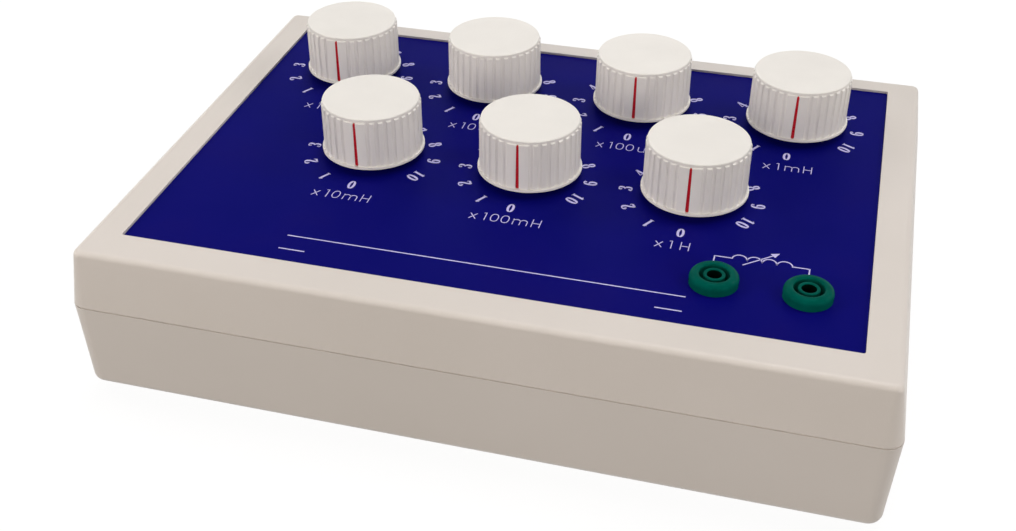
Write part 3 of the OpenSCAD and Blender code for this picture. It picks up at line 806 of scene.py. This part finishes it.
def pointer(name, seed):
    """The paint in a knob's groove, made with the groove along +X and then turned to rest."""
    rng = random.Random(seed)
    low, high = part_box("knob_" + name)
    foot = low.z / MM + GROOVE_FOOT + PAINT_MARGIN
    head = high.z / MM - GROOVE_HEAD - PAINT_MARGIN
    front = []
    for i in range(PAINT_ROWS + 1):
        t = i / PAINT_ROWS
        rounding = min(1.0, min(t, 1 - t) * PAINT_ROWS / END_ROWS + END_SHARE)
        half = (PAINT_FOOT_W + (PAINT_TOP_W - PAINT_FOOT_W) * t) / 2
        half *= rounding * (1 - RAGGED * rng.random())
        for j in range(PAINT_ACROSS + 1):
            u = 2 * j / PAINT_ACROSS - 1
            rise = PAINT_T * (1 - HOLLOW + HOLLOW * u * u) * min(1.0, rounding + END_RISE)
            front.append((GROOVE_FLOOR + rise, half * u, foot + (head - foot) * t))
    back = [(GROOVE_FLOOR + PAINT_LIFT, y, z) for x, y, z in front]
    knob_x, knob_y = axis_of[name]
    turn = math.radians(ZERO + REST.get(name, 0.0))
    c, s = math.cos(turn), math.sin(turn)
    verts = [((knob_x + x * c - y * s) * MM, (knob_y + PANEL_Y + x * s + y * c) * MM, z * MM)
             for x, y, z in front + back]
    obj = add_mesh("pointer_paint_" + name, verts, slab_faces(PAINT_ROWS, PAINT_ACROSS), RED)
    obj.data.shade_smooth()
    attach(obj, "knob_" + name + "_turning")


for number, decade in enumerate(DECADES):
    pointer(decade, number)


# Floor and world

FLOOR_HALF = 6.0
FLOOR_GREY = (0.10, 0.10, 0.10, 1.0)
FLOOR_ROUGHNESS = 0.9
FLOOR_SPECULAR = 0.1
FLOOR_SHOWN = 0.92
WHITE = (1.0, 1.0, 1.0, 1.0)
FILL_COLOUR = (0.93, 0.97, 1.0, 1.0)
FILL = 0.06


def white_share(tree):
    """1 for the camera, mirrors and glass, and 0 for other rays."""
    path = tree.nodes.new("ShaderNodeLightPath").outputs
    seen = maths(tree, "MAXIMUM", path["Is Camera Ray"], path["Is Glossy Ray"])
    return maths(tree, "MAXIMUM", seen, path["Is Transmission Ray"])


def clear_from_below(tree, shader):
    """Lets the camera and the lamp under the floor see the underside of the box."""
    side = tree.nodes.new("ShaderNodeNewGeometry").outputs["Backfacing"]
    shadow = tree.nodes.new("ShaderNodeLightPath").outputs["Is Shadow Ray"]
    clear = tree.nodes.new("ShaderNodeBsdfTransparent")
    mix = tree.nodes.new("ShaderNodeMixShader")
    tree.links.new(maths(tree, "MAXIMUM", side, shadow), mix.inputs["Fac"])
    tree.links.new(shader.outputs["BSDF"], mix.inputs[1])
    tree.links.new(clear.outputs["BSDF"], mix.inputs[2])
    tree.links.new(mix.outputs["Shader"], tree.nodes["Material Output"].inputs["Surface"])


def floor_material():
    mat = bpy.data.materials.new("studio_floor")
    mat.use_nodes = True
    tree = mat.node_tree
    shader = tree.nodes["Principled BSDF"]
    shader.inputs["Base Color"].default_value = FLOOR_GREY
    shader.inputs["Roughness"].default_value = FLOOR_ROUGHNESS
    shader.inputs["Specular IOR Level"].default_value = FLOOR_SPECULAR
    shader.inputs["Emission Color"].default_value = WHITE
    glow = maths(tree, "MULTIPLY", white_share(tree), FLOOR_SHOWN)
    tree.links.new(glow, shader.inputs["Emission Strength"])
    clear_from_below(tree, shader)
    return mat


def add_floor():
    corners = [(-FLOOR_HALF, -FLOOR_HALF, 0), (FLOOR_HALF, -FLOOR_HALF, 0),
               (FLOOR_HALF, FLOOR_HALF, 0), (-FLOOR_HALF, FLOOR_HALF, 0)]
    floor = add_mesh("studio_floor", corners, [(0, 1, 2, 3)], floor_material())


def add_world():
    world = bpy.data.worlds.new("studio")
    bpy.context.scene.world = world
    world.use_nodes = True
    tree = world.node_tree
    tree.nodes.clear()
    out = tree.nodes.new("ShaderNodeOutputWorld")
    fill = tree.nodes.new("ShaderNodeBackground")
    fill.inputs["Color"].default_value = FILL_COLOUR
    fill.inputs["Strength"].default_value = FILL
    white = tree.nodes.new("ShaderNodeBackground")
    white.inputs["Color"].default_value = WHITE
    white.inputs["Strength"].default_value = 1.0
    mix = tree.nodes.new("ShaderNodeMixShader")
    tree.links.new(white_share(tree), mix.inputs["Fac"])
    tree.links.new(fill.outputs["Background"], mix.inputs[1])
    tree.links.new(white.outputs["Background"], mix.inputs[2])
    tree.links.new(mix.outputs["Shader"], out.inputs["Surface"])


add_floor()
add_world()


# Lamps. A level is the share of its own colour at which a white face turned to the lamp renders.
# Directions are in degrees, from +X towards +Y and up from level.

SUN_DISTANCE = 2.0
WHITE_LIGHT = (1.0, 0.99, 0.97)
SOFT_LIGHT = (1.0, 0.98, 0.95)
CREAM_LIGHT = (1.0, 0.97, 0.93)
WARM_LIGHT = (1.0, 0.93, 0.85)


def towards(azimuth, elevation):
    a, e = math.radians(azimuth), math.radians(elevation)
    return Vector((math.cos(a) * math.cos(e), math.sin(a) * math.cos(e), math.sin(e)))


def add_lamp(name, data, place, aim):
    lamp = bpy.data.objects.new(name, data)
    lamp.location = place
    lamp.rotation_euler = aim.to_track_quat("Z", "Y").to_euler()
    bpy.context.scene.collection.objects.link(lamp)
    return lamp


def add_sun(name, level, spread, azimuth, elevation, colour):
    data = bpy.data.lights.new(name, "SUN")
    data.energy = level * math.pi
    data.angle = math.radians(spread)
    data.color = colour
    aim = towards(azimuth, elevation)
    return add_lamp(name, data, aim * SUN_DISTANCE, aim)


def add_softbox(name, level, size, azimuth, elevation, distance, colour):
    """A square lamp that faces the middle of the panel. size and distance are in metres."""
    data = bpy.data.lights.new(name, "AREA")
    data.energy = level * (math.pi * distance) ** 2
    data.size = size
    data.color = colour
    aim = towards(azimuth, elevation)
    return add_lamp(name, data, aim * distance + Vector((0.0, 0.0, FACE * MM)), aim)


add_sun("top_light", 0.32, 26.0, 80.0, 75.0, WHITE_LIGHT)
add_softbox("right_light", 0.24, 0.5, 22.0, 35.0, 1.4, CREAM_LIGHT)
add_softbox("left_light", 0.17, 0.6, 160.0, 40.0, 1.4, CREAM_LIGHT)
add_softbox("front_light", 0.22, 0.4, 262.0, 32.0, 1.0, WARM_LIGHT)
add_softbox("front_right_light", 0.3, 0.4, 325.0, 14.0, 1.2, WARM_LIGHT)
add_softbox("front_left_light", 0.36, 0.4, 212.0, 14.0, 1.2, WARM_LIGHT)
add_softbox("under_light", 0.3, 0.8, 270.0, -90.0, 1.2, SOFT_LIGHT)

# The back light's reflection would wash out the knobs' tops

back_light = add_softbox("back_light", 0.24, 0.5, 100.0, 18.0, 1.2, SOFT_LIGHT)
back_light.visible_glossy = False

bpy.context.scene.view_settings.view_transform = "Standard"
